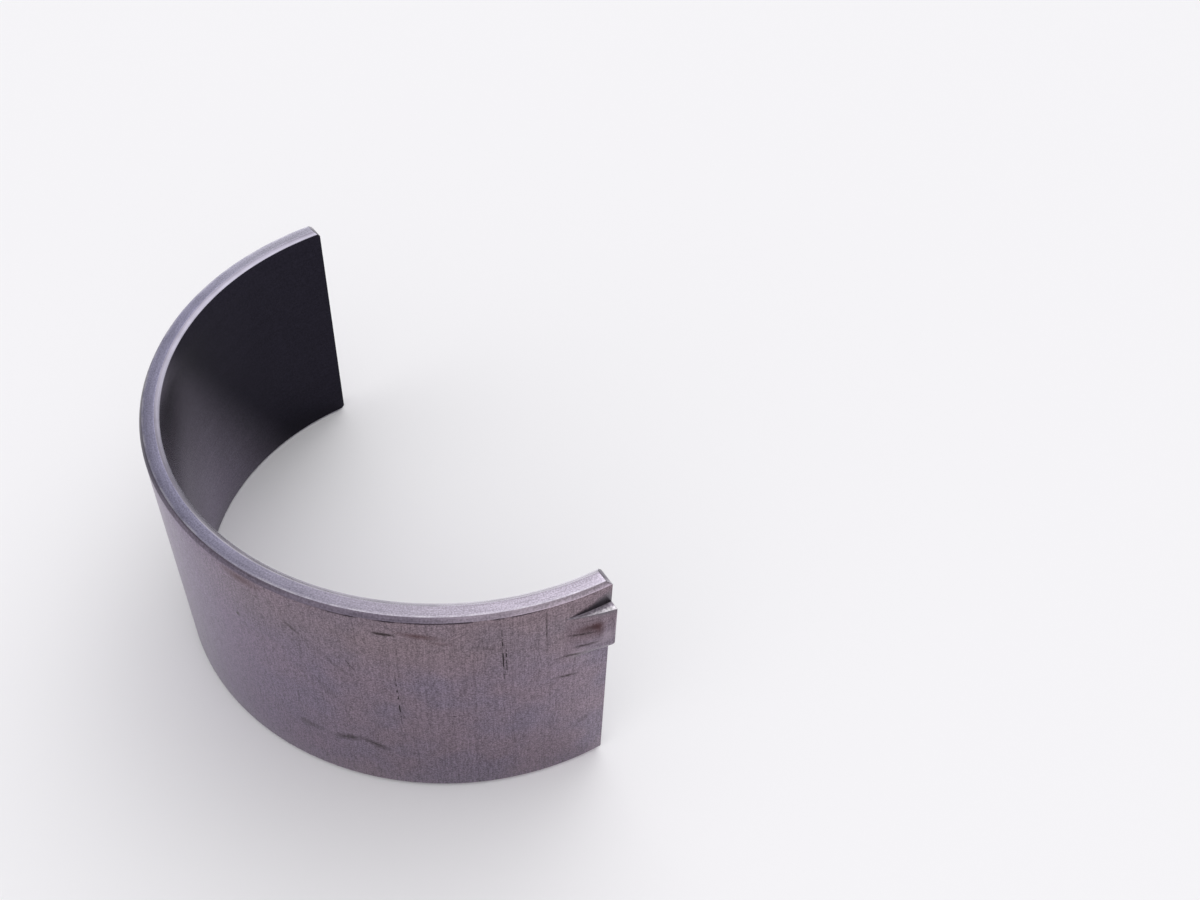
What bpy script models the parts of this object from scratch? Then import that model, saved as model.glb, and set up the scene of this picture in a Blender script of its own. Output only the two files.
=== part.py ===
"""Thin-wall half bearing shell for a crankshaft journal, in metres with +Z up.

The bearing axis is vertical and the shell stands on its lower side face. Its open side looks along +Y.
The locating tang is at the +X parting face, nearer the upper side face.
The origin is the middle of the footprint, on the plane of the lower side face.
"""
import math

import bmesh
import bpy
from mathutils import Matrix, Vector

MM = 0.001

# Wall: a steel strip with a thin lining, rolled to a little less than half a turn.
# The back is measured as the free shell stands, sprung slightly wider than its housing.
BACK_RADIUS = 26.9 * MM
WALL = 1.75 * MM
WIDTH = 24.7 * MM
ARC = math.radians(177.0)

# Side-face chamfers: steep and narrow at the back, shallow and broad at the bore.
BACK_CHAMFER_RADIAL = 0.25 * MM
BACK_CHAMFER_AXIAL = 0.45 * MM
BORE_CHAMFER_RADIAL = 0.45 * MM
BORE_CHAMFER_AXIAL = 0.22 * MM

# Flat bevel across the wall where a side face meets a parting face.
END_BEVEL = 0.5 * MM

# Locating tang: sheared square on its upper side, pressed out of the wall so that it ramps up to the
# parting face, and rounded off on its lower flank. The punch leaves a matching pocket in the bore.
TANG_RISE = 0.88 * MM
TANG_LENGTH = 4.1 * MM
TANG_WIDTH = 5.65 * MM
TANG_DROP = 2.65 * MM
TANG_FLANK = 1.2 * MM
POCKET_DEPTH = 0.85 * MM

# Fineness of the curves.
STEP_ANGLE = math.radians(1.5)
FLANK_STEPS = 6
TANG_STEPS = 11

# How far tools run past the faces that they cut, and how deep a joined piece reaches into the wall.
OVERRUN = 1.0 * MM
OVERRUN_ANGLE = math.radians(2.2)
TANG_ROOT = 0.5 * MM
SINK = 0.05 * MM

# Satin steel.
STEEL_COLOUR = (0.46, 0.44, 0.47, 1.0)
STEEL_ROUGHNESS = 0.32
SHARP_ANGLE = math.radians(22.0)

BORE_RADIUS = BACK_RADIUS - WALL
MID_ANGLE = math.radians(270.0)
TANG_END = MID_ANGLE + ARC / 2
PLAIN_END = MID_ANGLE - ARC / 2


def around_axis(radius, angle, z):
    """Point at a radius and an angle about the bearing axis."""
    return Vector((radius * math.cos(angle), radius * math.sin(angle), z))


def new_object(name, bm):
    """Object made of a bmesh, with its faces turned outwards."""
    bmesh.ops.recalc_face_normals(bm, faces=bm.faces)
    mesh = bpy.data.meshes.new(name)
    bm.to_mesh(mesh)
    bm.free()
    obj = bpy.data.objects.new(name, mesh)
    bpy.context.scene.collection.objects.link(obj)
    return obj


def spun_section(section, start, sweep, steps):
    """Closed solid left by a section of (radius, z) points as it turns about the bearing axis."""
    bm = bmesh.new()
    face = bm.faces.new([bm.verts.new(around_axis(radius, start, z)) for radius, z in section])
    bmesh.ops.spin(
        bm,
        geom=[face] + face.edges[:] + face.verts[:],
        cent=(0, 0, 0),
        axis=(0, 0, 1),
        angle=sweep,
        steps=steps,
    )
    return bm


def wall_section():
    """Strip section with the two chamfers at each side face."""
    back_flat = BACK_RADIUS - BACK_CHAMFER_RADIAL
    bore_flat = BORE_RADIUS + BORE_CHAMFER_RADIAL
    return [
        (BORE_RADIUS, BORE_CHAMFER_AXIAL),
        (bore_flat, 0.0),
        (back_flat, 0.0),
        (BACK_RADIUS, BACK_CHAMFER_AXIAL),
        (BACK_RADIUS, WIDTH - BACK_CHAMFER_AXIAL),
        (back_flat, WIDTH),
        (bore_flat, WIDTH),
        (BORE_RADIUS, WIDTH - BORE_CHAMFER_AXIAL),
    ]


def wall():
    """Half ring, spun a little past both parting planes so that they can be cut true."""
    sweep = ARC + 2 * OVERRUN_ANGLE
    steps = 2 * round(sweep / STEP_ANGLE / 2)
    bm = spun_section(wall_section(), PLAIN_END - OVERRUN_ANGLE, sweep, steps)
    return new_object("bearing_shell", bm)


def pressed_wedge(name, seat_radius, rise):
    """Wedge that stands out from a cylinder of seat_radius at the tang's place.

    It is spun from its section at the parting face, then ramped down along the arc until it has sunk
    just below its seat.
    """
    top = WIDTH - TANG_DROP
    bottom = top - TANG_WIDTH
    full = rise + SINK
    section = [(seat_radius - TANG_ROOT, top), (seat_radius + rise, top)]
    for step in range(FLANK_STEPS + 1):
        share = step / FLANK_STEPS
        height = full * math.cos(share * math.pi / 2) - SINK
        section.append((seat_radius + height, bottom + TANG_FLANK * (1 - share)))
    section.append((seat_radius - TANG_ROOT, bottom))

    length_angle = TANG_LENGTH / BACK_RADIUS * full / rise
    sweep = -(length_angle + OVERRUN_ANGLE)
    bm = spun_section(section, TANG_END + OVERRUN_ANGLE, sweep, TANG_STEPS)
    floor_radius = seat_radius - SINK
    for vert in bm.verts:
        radius = math.hypot(vert.co.x, vert.co.y)
        angle = math.atan2(vert.co.y, vert.co.x) % math.tau
        if radius > seat_radius - (SINK + TANG_ROOT) / 2:
            run = (TANG_END - angle + math.pi) % math.tau - math.pi
            ramp = 1 - run / length_angle
            vert.co = around_axis(floor_radius + (radius - floor_radius) * ramp, angle, vert.co.z)
    return new_object(name, bm)


def end_frame(angle, outward):
    """Frame at a parting face: X out along the radius, Y away from the wall, Z up."""
    turn = Matrix.Rotation(angle, 4, 'Z')
    return turn if outward > 0 else turn @ Matrix.Scale(-1, 4, (0, 1, 0))


def parting_cutter():
    """Blocks that trim the strip's ends back to the two parting planes."""
    bm = bmesh.new()
    depth = BACK_RADIUS * OVERRUN_ANGLE + 3 * OVERRUN
    radial = WALL + TANG_RISE + 4 * OVERRUN
    for angle, outward in ((PLAIN_END, -1), (TANG_END, 1)):
        centre = Vector((BACK_RADIUS - WALL / 2, depth / 2, WIDTH / 2))
        size = Matrix.Diagonal((2 * radial, depth, WIDTH + 2 * OVERRUN, 1))
        place = end_frame(angle, outward) @ Matrix.Translation(centre) @ size
        bmesh.ops.create_cube(bm, size=1, matrix=place)
    return new_object("parting_cutter", bm)


def bevel_cutter():
    """Four square bars laid across the wall at 45 degrees, one at each corner of the strip."""
    bm = bmesh.new()
    bar = 2 * END_BEVEL + 2 * OVERRUN
    reach = bar / 2 - END_BEVEL / math.sqrt(2)
    for angle, outward in ((PLAIN_END, -1), (TANG_END, 1)):
        for z, up in ((0.0, -1), (WIDTH, 1)):
            tilt = Matrix.Rotation(up * math.pi / 4, 4, 'X')
            edge = Matrix.Translation((BACK_RADIUS - WALL / 2, 0, z))
            outwards = Matrix.Translation((0, reach, 0))
            size = Matrix.Diagonal((WALL + 2 * OVERRUN, bar, bar, 1))
            place = end_frame(angle, outward) @ edge @ tilt @ outwards @ size
            bmesh.ops.create_cube(bm, size=1, matrix=place)
    return new_object("bevel_cutter", bm)


def combine(body, tool, operation):
    """Join a tool to the body or cut it away, and leave the tool as a hidden guide."""
    modifier = body.modifiers.new(tool.name, 'BOOLEAN')
    modifier.solver = 'EXACT'
    modifier.operation = operation
    modifier.object = tool
    tool.hide_render = True
    tool.display_type = 'WIRE'


def steel():
    material = bpy.data.materials.new("satin_steel")
    material.use_nodes = True
    shader = material.node_tree.nodes["Principled BSDF"]
    shader.inputs["Base Color"].default_value = STEEL_COLOUR
    shader.inputs["Metallic"].default_value = 1.0
    shader.inputs["Roughness"].default_value = STEEL_ROUGHNESS
    return material


def main():
    for obj in list(bpy.data.objects):
        bpy.data.objects.remove(obj)

    shell = wall()
    tang = pressed_wedge("tang_blank", BACK_RADIUS, TANG_RISE)
    pocket = pressed_wedge("pocket_cutter", BORE_RADIUS, POCKET_DEPTH)
    combine(shell, tang, 'UNION')
    combine(shell, pocket, 'DIFFERENCE')
    combine(shell, parting_cutter(), 'DIFFERENCE')
    combine(shell, bevel_cutter(), 'DIFFERENCE')

    # The footprint runs from the plain end to the tang's tip, and from the back to the parting faces.
    low_x = BACK_RADIUS * math.cos(PLAIN_END)
    high_x = (BACK_RADIUS + TANG_RISE) * math.cos(TANG_END)
    low_y = -BACK_RADIUS
    high_y = BORE_RADIUS * math.sin(TANG_END)
    for obj in bpy.data.objects:
        obj.location = (-(low_x + high_x) / 2, -(low_y + high_y) / 2, 0)

    shell.data.materials.append(steel())
    shell.data.shade_smooth()
    shell.data.set_sharp_from_angle(angle=SHARP_ANGLE)


main()
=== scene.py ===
"""Looks of the half bearing shell: its back, side faces, chamfers, lining, ends and tang."""
import math

import bmesh
import bpy
from mathutils import Matrix, Vector


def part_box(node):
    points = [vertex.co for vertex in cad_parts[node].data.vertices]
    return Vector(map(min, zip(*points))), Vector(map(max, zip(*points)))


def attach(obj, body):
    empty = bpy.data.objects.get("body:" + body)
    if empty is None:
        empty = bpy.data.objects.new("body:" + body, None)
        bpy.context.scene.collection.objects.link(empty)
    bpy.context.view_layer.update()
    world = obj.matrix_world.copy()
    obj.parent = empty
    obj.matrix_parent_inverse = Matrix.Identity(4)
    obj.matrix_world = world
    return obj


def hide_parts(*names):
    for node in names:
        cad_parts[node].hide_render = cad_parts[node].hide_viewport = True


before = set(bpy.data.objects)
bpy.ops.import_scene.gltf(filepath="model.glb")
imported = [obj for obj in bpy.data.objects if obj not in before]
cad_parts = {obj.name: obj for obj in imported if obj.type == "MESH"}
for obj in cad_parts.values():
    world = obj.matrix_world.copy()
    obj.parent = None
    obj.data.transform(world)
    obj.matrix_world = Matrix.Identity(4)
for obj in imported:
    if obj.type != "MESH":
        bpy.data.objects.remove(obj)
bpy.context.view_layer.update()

MM = 0.001

# Sizes of the real shell, as the solid has them.
BACK_RADIUS = 26.9 * MM
WALL = 1.75 * MM
WIDTH = 24.7 * MM
ARC = math.radians(177)
BACK_CHAMFER_RADIAL = 0.25 * MM
BACK_CHAMFER_AXIAL = 0.45 * MM
BORE_CHAMFER_RADIAL = 0.45 * MM
BORE_CHAMFER_AXIAL = 0.22 * MM
END_BEVEL = 0.5 * MM
TANG_RISE = 0.88 * MM
TANG_LENGTH = 4.1 * MM
TANG_WIDTH = 5.65 * MM
TANG_DROP = 2.65 * MM
TANG_FLANK = 1.2 * MM
POCKET_DEPTH = 0.85 * MM
BORE_RADIUS = BACK_RADIUS - WALL
TANG_TOP = WIDTH - TANG_DROP
TANG_BOTTOM = TANG_TOP - TANG_WIDTH

# Where the middle of the arc and both parting faces are about the bearing axis.
MID_ARC = math.radians(270)
TANG_END = MID_ARC + ARC / 2
PLAIN_END = MID_ARC - ARC / 2

# Broken edges, as the barrelling of the finished shell leaves them.
EDGE_BREAK = 0.045 * MM
SHARPEST_LEFT = math.radians(20)
SMOOTH_BELOW = math.radians(24)

# The wall is spun past both parting planes, and has even rows of edges across its width. Two more
# rows close to the tang keep its shading off the back.
WALL_STEPS = 240
WALL_PAST = math.radians(1.3)
EVEN_ROWS = 8
ROW_OFF_TANG = 0.15 * MM

# The wedge of the tang and its pocket is spun past the parting plane too. Its root is under the
# surface that it stands on, and its thin end sinks in a little.
WEDGE_STEPS = 17
WEDGE_PAST = math.radians(1.6)
WEDGE_ROOT = 0.5 * MM
WEDGE_SINK = 0.05 * MM
FLANK_STEPS = 7
FLANK_FULLNESS = 0.4

# How close two places count as one, and how close points are when a seam of the spins, of the cuts
# or of the broken edges joins them.
NEAR = 0.01 * MM
SPIN_SEAM = 0.002 * MM
CUT_SEAM = 0.0005 * MM
BREAK_SEAM = 0.001 * MM

# Skewed direction, along which hardly any two points of the shell lie equally far.
SKEWED = Vector((1, 0.618, 0.236))

# How squarely a face looks along a direction, from 0 to 1, to count as facing it.
FLAT_ON = 0.98
END_ON = 0.5
CHAMFERED = 0.3

# The shell is shaped round the world's Z axis and then moved to the bearing axis of the solid,
# whose lowest X is the plain end's back edge, and whose lowest Y is one radius off the axis.
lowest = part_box("bearing_shell")[0]
AXIS = Vector((lowest.x - BACK_RADIUS * math.cos(PLAIN_END), lowest.y + BACK_RADIUS, 0))


def deselect():
    for obj in bpy.context.selected_objects:
        obj.select_set(False)


def make_active(obj):
    deselect()
    obj.select_set(True)
    bpy.context.view_layer.objects.active = obj


def apply_place(obj):
    make_active(obj)
    bpy.ops.object.transform_apply(location=True, rotation=True, scale=True)


def select_verts(obj, wanted):
    """In edit mode, selects the vertices whose place in the mesh the test accepts."""
    bm = bmesh.from_edit_mesh(obj.data)
    for vert in bm.verts:
        vert.select = wanted(vert.co)
    bm.select_flush_mode()
    bmesh.update_edit_mesh(obj.data)


def section_blank(name, low_radius, high_radius, low_z, high_z):
    """Rectangle in the plane of the bearing axis and +X, left in edit mode with it all selected."""
    deselect()
    bpy.ops.mesh.primitive_plane_add(
        size=1,
        location=((low_radius + high_radius) / 2, 0, (low_z + high_z) / 2),
        rotation=(math.pi / 2, 0, 0),
    )
    obj = bpy.context.object
    obj.name = name
    obj.scale = (high_radius - low_radius, high_z - low_z, 1)
    apply_place(obj)
    bpy.ops.object.mode_set(mode='EDIT')
    bpy.ops.mesh.select_all(action='SELECT')
    return obj


def spin_section(start, sweep, steps):
    """Turns the section in edit mode to its start angle and spins it about the bearing axis."""
    turn = Matrix.Rotation(start, 4, 'Z')
    bm = bmesh.from_edit_mesh(bpy.context.object.data)
    bmesh.ops.transform(bm, matrix=turn, verts=bm.verts)
    bmesh.update_edit_mesh(bpy.context.object.data)
    bpy.ops.mesh.select_all(action='SELECT')
    bpy.ops.mesh.spin(steps=steps, angle=sweep, center=(0, 0, 0), axis=(0, 0, -1))
    bpy.ops.mesh.select_all(action='SELECT')
    bpy.ops.mesh.remove_doubles(threshold=SPIN_SEAM)
    bpy.ops.mesh.normals_make_consistent(inside=False)


def rolled_strip():
    """The wall: a chamfered strip section spun past both parting planes."""
    shell = section_blank("shell", BORE_RADIUS, BACK_RADIUS, 0, WIDTH)
    corner = BORE_CHAMFER_AXIAL
    bpy.ops.mesh.bevel(offset=corner, segments=1, affect='VERTICES')

    def shift(wanted, offset):
        select_verts(shell, wanted)
        bpy.ops.transform.translate(value=offset)

    # All four corners start with one size, and then each chamfer gets its own.
    for face, inward in ((0, 1), (WIDTH, -1)):
        on_face = lambda co: abs(co.z - face) < NEAR
        below = lambda co: abs(co.z - face - inward * corner) < NEAR
        shift(
            lambda co: on_face(co) and abs(co.x - BORE_RADIUS - corner) < NEAR,
            (BORE_CHAMFER_RADIAL - corner, 0, 0),
        )
        shift(
            lambda co: on_face(co) and abs(co.x - BACK_RADIUS + corner) < NEAR,
            (corner - BACK_CHAMFER_RADIAL, 0, 0),
        )
        shift(
            lambda co: below(co) and abs(co.x - BACK_RADIUS) < NEAR,
            (0, 0, inward * (BACK_CHAMFER_AXIAL - corner)),
        )

    spin_section(PLAIN_END - WALL_PAST, ARC + 2 * WALL_PAST, WALL_STEPS)

    rows = [WIDTH * row / EVEN_ROWS for row in range(1, EVEN_ROWS)]
    for height in rows + [TANG_TOP + ROW_OFF_TANG, TANG_BOTTOM - ROW_OFF_TANG]:
        bpy.ops.mesh.select_all(action='SELECT')
        bpy.ops.mesh.bisect(plane_co=(0, 0, height), plane_no=(0, 0, 1), threshold=CUT_SEAM)
    bpy.ops.object.mode_set(mode='OBJECT')
    return shell


def pressed_wedge(name, seat_radius, rise):
    """Wedge on a cylinder of seat_radius, spun from its end section and ramped down on the arc."""
    full = rise + WEDGE_SINK
    crown = seat_radius + rise
    foot = seat_radius - WEDGE_SINK
    wedge = section_blank(name, seat_radius - WEDGE_ROOT, crown, TANG_BOTTOM, TANG_TOP)
    select_verts(wedge, lambda co: co.x > crown - NEAR and co.z < TANG_BOTTOM + NEAR)
    bpy.ops.mesh.bevel(
        offset=full, segments=FLANK_STEPS, profile=FLANK_FULLNESS, affect='VERTICES'
    )
    select_verts(wedge, lambda co: co.x > foot - NEAR and co.z < TANG_BOTTOM + full + NEAR)
    bpy.ops.transform.resize(
        value=(1, 1, TANG_FLANK / full), center_override=(0, 0, TANG_BOTTOM)
    )

    length = TANG_LENGTH / BACK_RADIUS * full / rise
    spin_section(TANG_END + WEDGE_PAST, -(length + WEDGE_PAST), WEDGE_STEPS)
    bm = bmesh.from_edit_mesh(wedge.data)
    for vert in bm.verts:
        radius = math.hypot(vert.co.x, vert.co.y)
        angle = math.atan2(vert.co.y, vert.co.x) % math.tau
        # The root stays level, and all above it comes down the ramp.
        if radius > seat_radius - (WEDGE_ROOT + WEDGE_SINK) / 2:
            run = (TANG_END - angle + math.pi) % math.tau - math.pi
            ramped = foot + (radius - foot) * (1 - run / length)
            vert.co.x = ramped * math.cos(angle)
            vert.co.y = ramped * math.sin(angle)
    bmesh.update_edit_mesh(wedge.data)
    bpy.ops.mesh.select_all(action='SELECT')
    bpy.ops.mesh.normals_make_consistent(inside=False)
    bpy.ops.object.mode_set(mode='OBJECT')
    return wedge


def put_in_order(obj):
    """Orders the mesh by place, as a boolean leaves it in another order on each run."""
    bm = bmesh.new()
    bm.from_mesh(obj.data)
    bm.verts.sort(key=lambda vert: vert.co.dot(SKEWED))
    bm.edges.sort(key=lambda edge: (edge.verts[0].co + edge.verts[1].co).dot(SKEWED))
    bm.faces.sort(key=lambda face: face.calc_center_median().dot(SKEWED))
    bm.to_mesh(obj.data)
    bm.free()


def combine(body, tool, operation):
    modifier = body.modifiers.new(tool.name, 'BOOLEAN')
    modifier.solver = 'EXACT'
    modifier.operation = operation
    modifier.object = tool
    make_active(body)
    bpy.ops.object.modifier_apply(modifier=modifier.name)
    bpy.data.objects.remove(tool)
    put_in_order(body)


def trim_ends(shell):
    """Cuts both parting faces flat and radial, then the bevel where each meets a side face."""
    make_active(shell)
    bpy.ops.object.mode_set(mode='EDIT')
    for angle, side in ((PLAIN_END, -1), (TANG_END, 1)):
        away = Vector((-math.sin(angle), math.cos(angle), 0)) * side
        cuts = [(Vector((0, 0, 0)), away)]
        for z, up in ((0, -1), (WIDTH, 1)):
            outward = (away + Vector((0, 0, up))).normalized()
            cuts.append((Vector((0, 0, z)) - outward * END_BEVEL / math.sqrt(2), outward))
        for place, outward in cuts:
            bpy.ops.mesh.select_all(action='SELECT')
            bpy.ops.mesh.bisect(
                plane_co=place, plane_no=outward, use_fill=True, clear_outer=True,
                threshold=CUT_SEAM,
            )
    bpy.ops.object.mode_set(mode='OBJECT')


def finish_of(centre, normal):
    """Which finish a face has, from its place about the bearing axis and the way it looks."""
    radial = Vector((centre.x, centre.y, 0)).normalized()
    outward = normal.dot(radial)
    across = abs(normal.z)
    along = abs(normal.dot(Vector((-radial.y, radial.x, 0))))
    from_side = min(centre.z, WIDTH - centre.z)
    if along > END_ON:
        return broached_parting_face
    if across > FLAT_ON:
        return ground_side_face if from_side < NEAR else sheared_tang_facet
    if from_side < BACK_CHAMFER_AXIAL and across > CHAMFERED:
        return turned_back_chamfer if outward > 0 else turned_bore_chamfer
    return rolled_steel_back if outward > 0 else bored_alloy_lining


def merge_doubles(shell, threshold):
    make_active(shell)
    bpy.ops.object.mode_set(mode='EDIT')
    bpy.ops.mesh.select_all(action='SELECT')
    bpy.ops.mesh.remove_doubles(threshold=threshold)
    bpy.ops.mesh.normals_make_consistent(inside=False)
    bpy.ops.object.mode_set(mode='OBJECT')


def finish_shape(shell, finishes):
    """Cleans the seams of the cuts, parts the surface by finish and breaks the sharp edges."""
    merge_doubles(shell, SPIN_SEAM)
    for face in shell.data.polygons:
        face.material_index = finishes.index(finish_of(face.center, face.normal))
    breaks = shell.modifiers.new("edge_breaks", 'BEVEL')
    breaks.limit_method = 'ANGLE'
    breaks.angle_limit = SHARPEST_LEFT
    breaks.width = EDGE_BREAK
    breaks.segments = 2
    breaks.use_clamp_overlap = False
    bpy.ops.object.modifier_apply(modifier=breaks.name)
    merge_doubles(shell, BREAK_SEAM)
    bpy.ops.object.shade_smooth_by_angle(angle=SMOOTH_BELOW)


def write_strip_places(shell):
    """Gives each vertex its place on the strip in mm: along the arc from its middle, out and up."""
    places = shell.data.attributes.new("strip", 'FLOAT_VECTOR', 'POINT')
    for vert, place in zip(shell.data.vertices, places.data):
        angle = math.atan2(vert.co.y, vert.co.x) % math.tau
        radius = math.hypot(vert.co.x, vert.co.y)
        place.vector = Vector(((angle - MID_ARC) * BACK_RADIUS, radius, vert.co.z)) / MM


def linear(code):
    """sRGB hex colour as linear RGBA."""
    channels = [int(code[i:i + 2], 16) / 255 for i in (0, 2, 4)]
    return [c / 12.92 if c <= 0.04045 else ((c + 0.055) / 1.055) ** 2.4 for c in channels] + [1.0]


def fill(tree, node, sockets):
    """Gives each socket named its value, or a link where the value is another node's output."""
    for name, value in sockets.items():
        if isinstance(value, bpy.types.NodeSocket):
            tree.links.new(value, node.inputs[name])
        else:
            node.inputs[name].default_value = value


def add(tree, kind, sockets, **settings):
    """Adds a node with its settings and links."""
    node = tree.nodes.new("ShaderNode" + kind)
    for name, value in settings.items():
        setattr(node, name, value)
    fill(tree, node, sockets)
    return node


# Sockets of a Mix node that mixes colours.
COLOUR_A = 6
COLOUR_B = 7
COLOUR_OUT = 2


def bare_metal(name):
    """Material of clean metal, and its nodes, before its colour and relief are added."""
    material = bpy.data.materials.new(name)
    material.use_nodes = True
    tree = material.node_tree
    fill(tree, tree.nodes["Principled BSDF"], {"Metallic": 1.0})
    return material, tree


def strip_place(tree):
    """A point's place on the strip in mm: along the arc, out from the bearing axis, and up."""
    strip = add(tree, "Attribute", {}, attribute_name="strip").outputs["Vector"]
    place = add(tree, "SeparateXYZ", {0: strip}).outputs
    return place["X"], place["Y"], place["Z"]


def lay(tree, along, out, up, detail=2.0):
    """Noise from 0 to 1 on the strip, with grains this many mm long along the arc, out and up."""
    strip = add(tree, "Attribute", {}, attribute_name="strip").outputs["Vector"]
    sized = add(tree, "Mapping", {"Vector": strip, "Scale": (1 / along, 1 / out, 1 / up)})
    noise = add(tree, "TexNoise", {
        "Vector": sized.outputs["Vector"], "Scale": 1.0, "Detail": detail,
    })
    return noise.outputs["Fac"]


def patchiness(tree, along, out, up, start, end, least=0.0):
    """Patches this many mm long: least where their noise is under start, 1 where it is over end."""
    patches = add(tree, "MapRange", {
        "Value": lay(tree, along, out, up), "From Min": start, "From Max": end, "To Min": least,
    }, interpolation_type='SMOOTHSTEP')
    return patches.outputs["Result"]


def turning(tree, value, start, end, first, second, least=0.0, most=1.0):
    """The first colour, which turns into the second as the value goes from start to end.

    The share of the second is least before that and most after it.
    """
    share = add(tree, "MapRange", {
        "Value": value, "From Min": start, "From Max": end, "To Min": least, "To Max": most,
    }, interpolation_type='SMOOTHSTEP').outputs["Result"]
    mix = add(tree, "Mix", {0: share, COLOUR_A: first, COLOUR_B: second}, data_type='RGBA')
    return mix.outputs[COLOUR_OUT]


def swing(tree, noises):
    """A number round 1. Each noise comes with how far it carries the number from low to high."""
    number = 1 - sum(reach for noise, reach in noises) / 2
    for noise, reach in noises:
        carried = add(tree, "Math", {0: noise, 1: reach, 2: number}, operation='MULTIPLY_ADD')
        number = carried.outputs[0]
    return number


def grained(tree, colour, noises):
    """The colour, made lighter and darker by the noises."""
    mix = add(tree, "Mix", {
        0: 1.0, COLOUR_A: colour, COLOUR_B: swing(tree, noises),
    }, data_type='RGBA', blend_type='MULTIPLY')
    return mix.outputs[COLOUR_OUT]


def marked(tree, colour, marks, film, patches=1.0):
    """The colour with a film of another where the marks are, thinned between the patches."""
    strip = add(tree, "Attribute", {}, attribute_name="strip").outputs["Vector"]
    cover = 0.0
    for along, up, length, width, lean, depth in marks:
        streak = add(tree, "Mapping", {
            "Vector": strip,
            "Location": (along, BACK_RADIUS / MM, up),
            "Rotation": (0, -math.radians(lean), 0),
            "Scale": (length / 2, MARK_REACH, width / 2),
        }, vector_type='TEXTURE').outputs["Vector"]
        fade = add(tree, "TexGradient", {"Vector": streak}, gradient_type='SPHERICAL')
        layer = add(tree, "Math", {
            0: fade.outputs["Fac"], 1: depth, 2: cover,
        }, operation='MULTIPLY_ADD')
        cover = layer.outputs[0]
    share = add(tree, "Math", {0: cover, 1: patches}, operation='MULTIPLY').outputs[0]
    mix = add(tree, "Mix", {0: share, COLOUR_A: colour, COLOUR_B: film}, data_type='RGBA')
    return mix.outputs[COLOUR_OUT]


def dress(tree, colour, roughness, relief, depth):
    """Gives the metal its colour, its roughness, and a relief of noises this many mm deep."""
    bump = add(tree, "Bump", {
        "Height": swing(tree, relief), "Distance": depth * MM, "Strength": 1.0,
    })
    fill(tree, tree.nodes["Principled BSDF"], {
        "Base Color": colour, "Roughness": roughness, "Normal": bump.outputs["Normal"],
    })


# Marks on the back. Each is (along, up, length, width, lean, depth): the middle of
# the mark on the strip and its size in mm, its lean in degrees, and how dense it is. Each reaches
# this many mm outward and inward of the back, so that it looks the same on the raised tang.
MARK_REACH = 100

# Scratches up the back and a few short ones.
SCRATCHES = [
    (32.33, 19.3, 9.4, 0.14, 91, 2.52),
    (32.6, 18.9, 5.0, 0.14, 91, 1.98),
    (36.0, 18.65, 0.35, 0.3, 0, 2.16),
    (23.72, 13.5, 8.0, 0.16, 91, 2.7),
    (28.4, 11.36, 2.0, 0.16, 5, 1.44),
    (29.85, 15.7, 0.5, 0.2, 10, 1.62),
    (26.95, 1.92, 1.0, 0.2, 0, 1.26),
    (19.95, 17.6, 2.4, 0.2, -62, 1.08),
    (34.3, 6.7, 2.0, 0.2, -24, 0.72),
]

# Line that the chamfering tool scribed where it met the back.
TOOL_LINES = [
    (29.0, 24.2, 26.0, 0.3, 0, 1.5),
    (20.0, 24.18, 12.0, 0.3, 0, 0.8),
]

# Brown stains left by the press oil, on the tang and under the upper side face.
STAINS = [
    (40.1, 20.05, 1.3, 3.0, 8, 0.63),
    (39.5, 20.45, 2.8, 1.2, 6, 0.495),
    (38.9, 20.0, 4.4, 3.4, 6, 0.315),
    (25.8, 22.55, 4.4, 0.9, -10, 0.72),
    (27.5, 21.6, 3.0, 0.5, -10, 0.36),
    (10.8, 23.7, 5.0, 1.6, 0, 0.72),
]

# One fine line and one dash near the tang, soft drag marks of the press tool on and below the
# tang, and smudges and pits elsewhere on the back.
DRAG_MARKS = [
    (35.88, 21.4, 7.0, 0.15, 91, 1.4),
    (23.1, 22.5, 2.2, 0.5, -4, 2.2),
    (39.55, 20.42, 2.2, 0.9, 6, 0.55),
    (39.1, 19.95, 3.0, 1.3, 6, 0.4),
    (38.75, 19.75, 4.0, 0.4, -2, 0.9),
    (39.2, 18.22, 3.0, 0.45, 4, 1.3),
    (38.0, 17.1, 3.6, 0.45, 1, 1.4),
    (37.6, 14.25, 3.0, 0.5, -10, 1.2),
    (39.3, 21.35, 3.0, 0.25, 2, 0.6),
    (18.8, 6.25, 3.6, 1.2, 14, 1.1),
    (21.2, 6.1, 3.8, 1.0, -25, 1.0),
    (15.1, 6.2, 3.6, 1.3, -4, 0.7),
    (39.5, 6.6, 1.8, 0.9, 21, 0.6),
    (31.3, 20.5, 2.6, 0.6, -22, 0.6),
    (15.2, 20.3, 2.6, 0.5, -38, 1.0),
    (18.6, 17.1, 5.6, 0.6, -43, 0.5),
    (17.6, 13.0, 5.0, 0.6, -50, 0.45),
    (9.45, 18.1, 0.6, 0.45, 70, 1.4),
    (2.9, 21.9, 0.6, 0.5, 0, 1.0),
    (6.0, 24.0, 0.7, 0.4, 0, 0.8),
    (3.1, 17.75, 0.6, 0.5, 0, 0.8),
    (12.2, 22.4, 0.5, 0.4, 0, 0.8),
]

# Painted highlights on the tang's ramp and along its edge by the parting face.
PAINTED_TANG_HIGHLIGHTS = [
    (40.9, 18.9, 1.5, 1.7, 20, 0.64),
    (40.3, 18.2, 2.2, 0.7, 5, 0.4),
    (41.5, 20.2, 0.25, 3.4, 0, 0.96),
    (38.9, 17.5, 2.6, 1.1, 6, 0.4),
    (39.2, 15.7, 2.4, 0.9, 0, 0.32),
]
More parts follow.
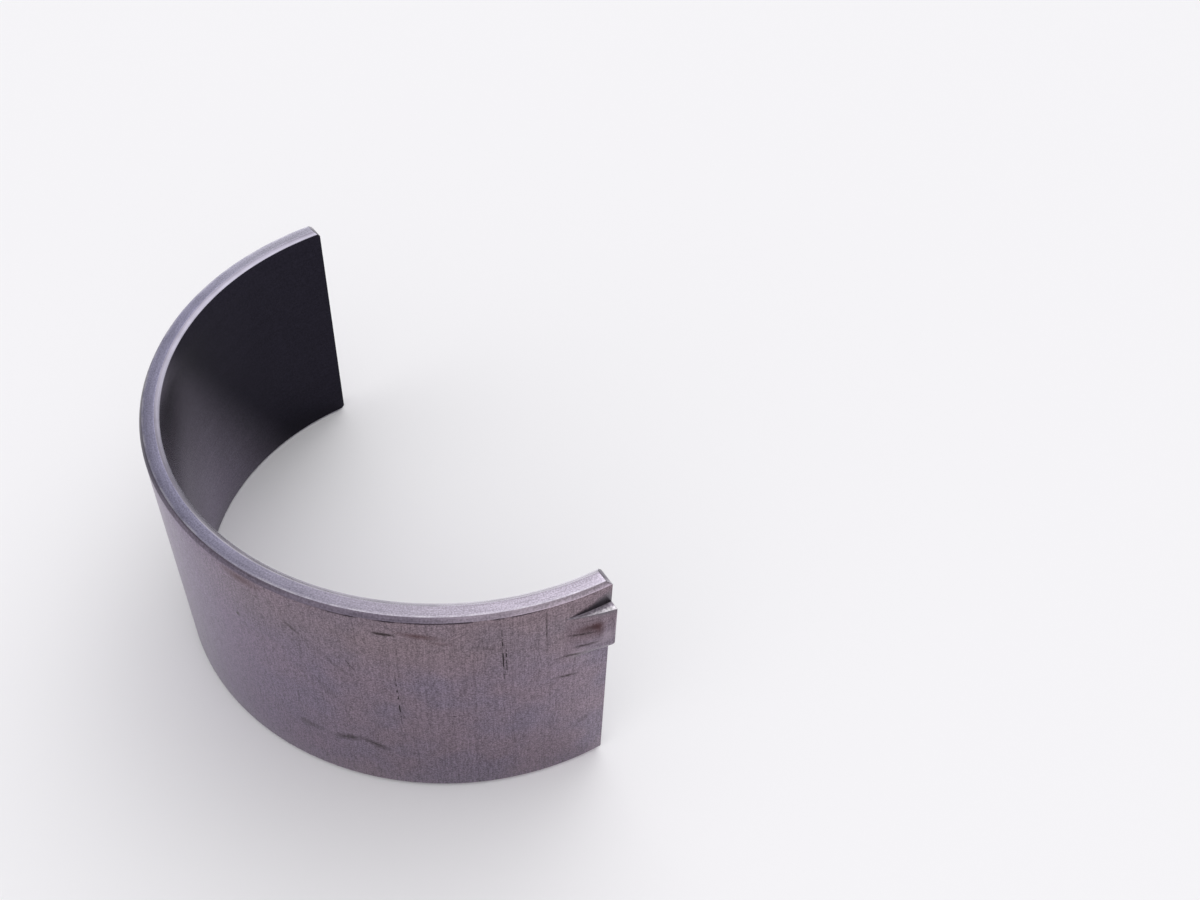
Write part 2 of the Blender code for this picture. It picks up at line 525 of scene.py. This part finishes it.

# Painted shade: a grey film in the corner above the tang.
PAINTED_SHADE_ABOVE_TANG = [
    (41.2, 22.5, 3.2, 2.6, 12, 1.2),
    (40.2, 22.25, 3.6, 1.4, 12, 0.9),
    (38.8, 22.08, 3.2, 0.4, 2, 1.6),
]


def rolled_steel_back():
    """Low-carbon steel strip, cold rolled, formed and barrelled: satin purple-grey, axial lay.

    Toward the upper side face a thin oil film makes it browner. The grit of the barrelling is
    drawn about twice as coarse as it is, so that it shows.
    """
    material, tree = bare_metal("rolled_steel_back")
    grit = lay(tree, 0.11, 0.11, 0.11, detail=0.0)
    hairs = lay(tree, 0.11, 3, 1.2, detail=0.0)
    brushing = lay(tree, 0.35, 3, 12, detail=3.0)
    patches = lay(tree, 6, 6, 5, detail=2.0)
    along, _, up = strip_place(tree)
    colour = turning(tree, patches, 0.35, 0.65, linear("7e7383"), linear("837480"))
    # Painted shade and a painted bluish reflection: darker over the plain end's half of the back
    # and part of the tang's half, and bluest near the middle of the arc.
    colour = turning(tree, along, 0, 24, linear("7b6c86"), colour)
    colour = turning(tree, along, -12, 0, linear("7c7480"), colour)
    oiled = turning(tree, up, 15, 22, colour, linear("847474"), most=0.4)
    colour = turning(tree, along, 2, 12, colour, oiled)
    colour = grained(tree, colour, [(grit, 1.25), (hairs, 0.55), (brushing, 0.6), (patches, 0.15)])
    # Painted highlights on the tang.
    colour = marked(tree, colour, PAINTED_TANG_HIGHLIGHTS, linear("a497a1"))
    colour = marked(tree, colour, STAINS, linear("4a2c2e"))
    blotches = patchiness(tree, 0.25, 0.25, 0.2, 0.35, 0.6, least=0.5)
    colour = marked(tree, colour, DRAG_MARKS, linear("3a3033"), blotches)
    # Painted shade in the corner above the tang.
    colour = marked(tree, colour, PAINTED_SHADE_ABOVE_TANG, linear("706b72"))
    dashes = patchiness(tree, 0.3, 0.3, 0.5, 0.42, 0.55)
    colour = marked(tree, colour, SCRATCHES, linear("2a2327"), dashes)
    skips = patchiness(tree, 1.5, 1, 1, 0.35, 0.6)
    colour = marked(tree, colour, TOOL_LINES, linear("332b33"), skips)
    rough = add(tree, "Math", {0: brushing, 1: 0.2, 2: 0.2}, operation='MULTIPLY_ADD').outputs[0]
    dress(tree, colour, rough, [(grit, 1.0), (hairs, 1.0)], 0.003)
    return material


def ground_side_face():
    """The same steel, ground flat on the rim: brighter, with close lines along the arc.

    Its outer edge is painted bright in patches, and it is painted lighter toward the tang and
    toward the plain end, as painted highlights.
    """
    material, tree = bare_metal("ground_side_face")
    grit = lay(tree, 0.14, 0.12, 0.12, detail=0.0)
    feed = lay(tree, 2.2, 0.12, 3, detail=1.0)
    along, out, _ = strip_place(tree)
    # Painted highlights: lighter toward the tang and toward the plain end.
    colour = turning(tree, along, 0, 30, linear("8a879e"), linear("9c95a2"))
    colour = turning(tree, along, -38, -22, linear("9f9cab"), colour)
    colour = grained(tree, colour, [(grit, 0.7), (feed, 0.45), (lay(tree, 3, 3, 3), 0.35)])
    # Painted highlight: bright patches along the outer edge.
    patchy = lay(tree, 1.2, 1.2, 1.2)
    painted_edge_highlight = turning(tree, patchy, 0.42, 0.65, colour, linear("d8d4dc"), least=0.12, most=0.4)
    outer_edge = (BACK_RADIUS - BACK_CHAMFER_RADIAL) / MM
    colour = turning(tree, out, outer_edge - 0.25, outer_edge - 0.05, colour, painted_edge_highlight)
    dress(tree, colour, 0.22, [(grit, 1.0), (feed, 1.0)], 0.0008)
    return material


def turned_back_chamfer():
    """Steel corner turned with a single tool: narrow, darker, with lines along the arc.

    It is painted dark toward the plain end as painted shade, and brighter toward the tang as a
    painted highlight.
    """
    material, tree = bare_metal("turned_back_chamfer")
    feed = lay(tree, 5, 0.12, 0.12, detail=2.0)
    grit = lay(tree, 0.15, 0.15, 0.15, detail=0.0)
    along, _, _ = strip_place(tree)
    # Painted shade toward the plain end and a painted highlight toward the tang.
    colour = turning(tree, along, -5, 5, linear("3a3446"), linear("716876"))
    colour = turning(tree, along, 24, 41, colour, linear("ccbdcb"))
    colour = grained(tree, colour, [(feed, 0.7), (grit, 0.8), (lay(tree, 2, 2, 2), 0.4)])
    dress(tree, colour, 0.3, [(feed, 1.0)], 0.004)
    return material


def turned_bore_chamfer():
    """Inner corner turned through the lining into the steel: a bright line round the bore.

    Painted highlights: it is painted brighter toward its inner edge and toward the tang, with a
    bright line painted along its inner edge near the tang.
    """
    material, tree = bare_metal("turned_bore_chamfer")
    feed = lay(tree, 6, 0.1, 0.1, detail=2.0)
    inner_edge = BORE_RADIUS / MM
    along, out, _ = strip_place(tree)
    # Painted highlights along the inner edge and toward the tang.
    colour = turning(
        tree, out, inner_edge + 0.05, inner_edge + 0.45, linear("a8a4b3"), linear("77737f")
    )
    colour = turning(tree, along, -2, 8, colour, linear("b8b3bf"))
    colour = turning(tree, along, 22, 34, colour, linear("cbc6d1"))
    painted_edge_highlight = turning(tree, out, inner_edge + 0.1, inner_edge + 0.25, linear("eeebf1"), colour)
    colour = turning(tree, along, 22, 34, colour, painted_edge_highlight)
    colour = grained(tree, colour, [(feed, 0.6), (lay(tree, 1.5, 2, 2), 0.4)])
    dress(tree, colour, 0.25, [(feed, 1.0)], 0.003)
    return material


def bored_alloy_lining():
    """Aluminium-tin alloy roll-bonded to the steel and fine bored: smooth dark satin.

    Painted shade makes it dark toward the plain end and the upper side face, and a painted
    reflection lightens it low down, short of the middle of the arc. Its tint at grazing angles
    keeps it dark where it is seen edge on.
    """
    material, tree = bare_metal("bored_alloy_lining")
    fill(tree, tree.nodes["Principled BSDF"], {"Specular Tint": linear("cbcbcb")})
    feed = lay(tree, 12, 2, 0.15, detail=2.0)
    clouds = lay(tree, 6, 6, 6, detail=1.0)
    grit = lay(tree, 0.15, 0.15, 0.15, detail=0.0)
    along, _, _ = strip_place(tree)
    strip = add(tree, "Attribute", {}, attribute_name="strip").outputs["Vector"]
    # Painted shade toward the plain end and the upper side face; a painted reflection lighter low
    # down, short of the middle of the arc.
    painted_shade_slant = add(tree, "VectorMath", {0: strip, 1: (0.8, 0, -0.5)}, operation='DOT_PRODUCT')
    colour = turning(
        tree, painted_shade_slant.outputs["Value"], -28.5, -14.5, linear("26242d"), linear("a098a9")
    )
    colour = turning(tree, along, -9, 2, colour, linear("867f8f"))
    colour = grained(tree, colour, [(grit, 0.7), (feed, 0.3), (clouds, 0.25)])
    dress(tree, colour, 0.25, [(feed, 1.0)], 0.001)
    return material


def broached_parting_face():
    """End of the strip, broached flat along the axis: straight lines from side to side.

    Wear makes it brighter toward the back.
    """
    material, tree = bare_metal("broached_parting_face")
    cuts = lay(tree, 5, 0.1, 8, detail=2.0)
    outer_edge = BACK_RADIUS / MM
    _, out, _ = strip_place(tree)
    colour = turning(
        tree, out, outer_edge - 0.8, outer_edge - 0.2, linear("77727c"), linear("b4adb7")
    )
    colour = grained(tree, colour, [(cuts, 0.6), (lay(tree, 0.4, 0.4, 0.4), 0.4)])
    dress(tree, colour, 0.28, [(cuts, 1.0)], 0.006)
    return material


def sheared_tang_facet():
    """Edge of the tang where the press tore it free: rough dark steel, with a painted highlight
    along its crest.
    """
    material, tree = bare_metal("sheared_tang_facet")
    tears = lay(tree, 0.22, 0.2, 0.22, detail=2.0)
    along, _, _ = strip_place(tree)

    # The painted highlight lies along the tang's sloping crest and widens toward the parting face.
    slope = TANG_RISE / TANG_LENGTH
    widening = 0.13
    band_start = 38.6
    half_arc = ARC / 2 * BACK_RADIUS / MM
    crest = (BACK_RADIUS + TANG_RISE) / MM - slope * half_arc + widening * band_start
    strip = add(tree, "Attribute", {}, attribute_name="strip").outputs["Vector"]
    square_off = add(tree, "VectorMath", {
        0: strip, 1: (widening - slope, 1, 0),
    }, operation='DOT_PRODUCT').outputs["Value"]
    torn = add(tree, "Math", {0: tears, 1: 0.25, 2: square_off}, operation='MULTIPLY_ADD')
    dark = linear("7b747e")
    bright = turning(tree, torn.outputs[0], crest, crest + 0.16, dark, linear("bab6bc"))
    colour = turning(tree, along, 38.4, 41.4, dark, bright, least=0.25)
    colour = grained(tree, colour, [(tears, 1.6)])
    dress(tree, colour, 0.35, [(tears, 1.0)], 0.02)
    return material


shell = rolled_strip()
combine(shell, pressed_wedge("tang", BACK_RADIUS, TANG_RISE), 'UNION')
combine(shell, pressed_wedge("pocket", BORE_RADIUS, POCKET_DEPTH), 'DIFFERENCE')
trim_ends(shell)

FINISHES = [
    rolled_steel_back,
    ground_side_face,
    turned_back_chamfer,
    turned_bore_chamfer,
    bored_alloy_lining,
    broached_parting_face,
    sheared_tang_facet,
]
shell.data.materials.clear()
for finish in FINISHES:
    shell.data.materials.append(finish())
finish_shape(shell, FINISHES)
write_strip_places(shell)

shell.location = AXIS
apply_place(shell)
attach(shell, "root")
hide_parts("bearing_shell")

# Floor: white paper, matt and even.
FLOOR_SIZE = 6
deselect()
bpy.ops.mesh.primitive_plane_add(size=FLOOR_SIZE, location=(0, 0, 0))
floor = bpy.context.object
floor.name = "floor"
paper = bpy.data.materials.new("white_paper")
paper.use_nodes = True
fill(paper.node_tree, paper.node_tree.nodes["Principled BSDF"], {
    "Base Color": linear("f2f1f4"), "Roughness": 0.9,
})
floor.data.materials.append(paper)

# Camera. Its place is in back radii from the bearing axis at the foot of the shell, before it is
# turned to its heading about that axis.
HEADING = math.radians(53.555)
DEPRESSION = math.radians(46.191)
ROLL = math.radians(3.308)
CAMERA_PLACE = Vector((0.5124, -3.1634, 3.9023))
SENSOR_WIDTH = 36
LENS = 39.161
NEAREST_SEEN = 0.005
camera_data = bpy.data.cameras.new("camera")
camera = bpy.data.objects.new("camera", camera_data)
bpy.context.scene.collection.objects.link(camera)
camera_data.sensor_width = SENSOR_WIDTH
camera_data.lens = LENS
camera_data.clip_start = NEAREST_SEEN
camera.location = AXIS + Matrix.Rotation(HEADING, 3, 'Z') @ CAMERA_PLACE * BACK_RADIUS
aim = Matrix.Rotation(HEADING, 4, 'Z') @ Matrix.Rotation(math.pi / 2 - DEPRESSION, 4, 'X')
camera.rotation_euler = (aim @ Matrix.Rotation(ROLL, 4, 'Z')).to_euler()
bpy.context.scene.camera = camera

# Light of the studio: soft glows all round. Each is (bearing, height, strength, narrowness). The
# bearing is in degrees clockwise from straight behind the shell as the camera sees it, the height
# in degrees over the floor, and the narrowness 6 for a broad glow and 20 for a softbox.
GLOWS = [
    (0, 88, 1.05, 6),
    (0, 45, 0.47, 6),
    (60, 45, 0.55, 6),
    (180, 45, 0.6, 6),
    (240, 45, 0.89, 6),
    (135, 10, 0.24, 6),
    (180, 10, 0.79, 6),
    (225, 10, 0.43, 6),
    (315, 10, 0.13, 6),
    (15, 48, 1.43, 20),
    (15, 28, 0.35, 20),
    (335, 15, 1.46, 20),
    (60, 60, 0.85, 20),
    (40, 35, 0.16, 20),
]

world = bpy.data.worlds.new("studio")
world.use_nodes = True
tree = world.node_tree
sky = add(tree, "TexCoord", {}).outputs["Generated"]
light = 0.0
for bearing, height, strength, narrowness in GLOWS:
    up = math.radians(height)
    turn = Matrix.Rotation(HEADING - math.radians(bearing), 3, 'Z')
    toward = turn @ Vector((0, math.cos(up), math.sin(up)))
    facing = add(tree, "VectorMath", {0: sky, 1: toward}, operation='DOT_PRODUCT').outputs["Value"]
    facing = add(tree, "Math", {0: facing, 1: 0.0}, operation='MAXIMUM').outputs[0]
    glow = add(tree, "Math", {0: facing, 1: narrowness}, operation='POWER').outputs[0]
    lit = add(tree, "Math", {0: glow, 1: strength, 2: light}, operation='MULTIPLY_ADD')
    light = lit.outputs[0]
fill(tree, tree.nodes["Background"], {"Strength": light, "Color": linear("ffffff")})
bpy.context.scene.world = world
bpy.context.scene.view_settings.view_transform = 'Standard'
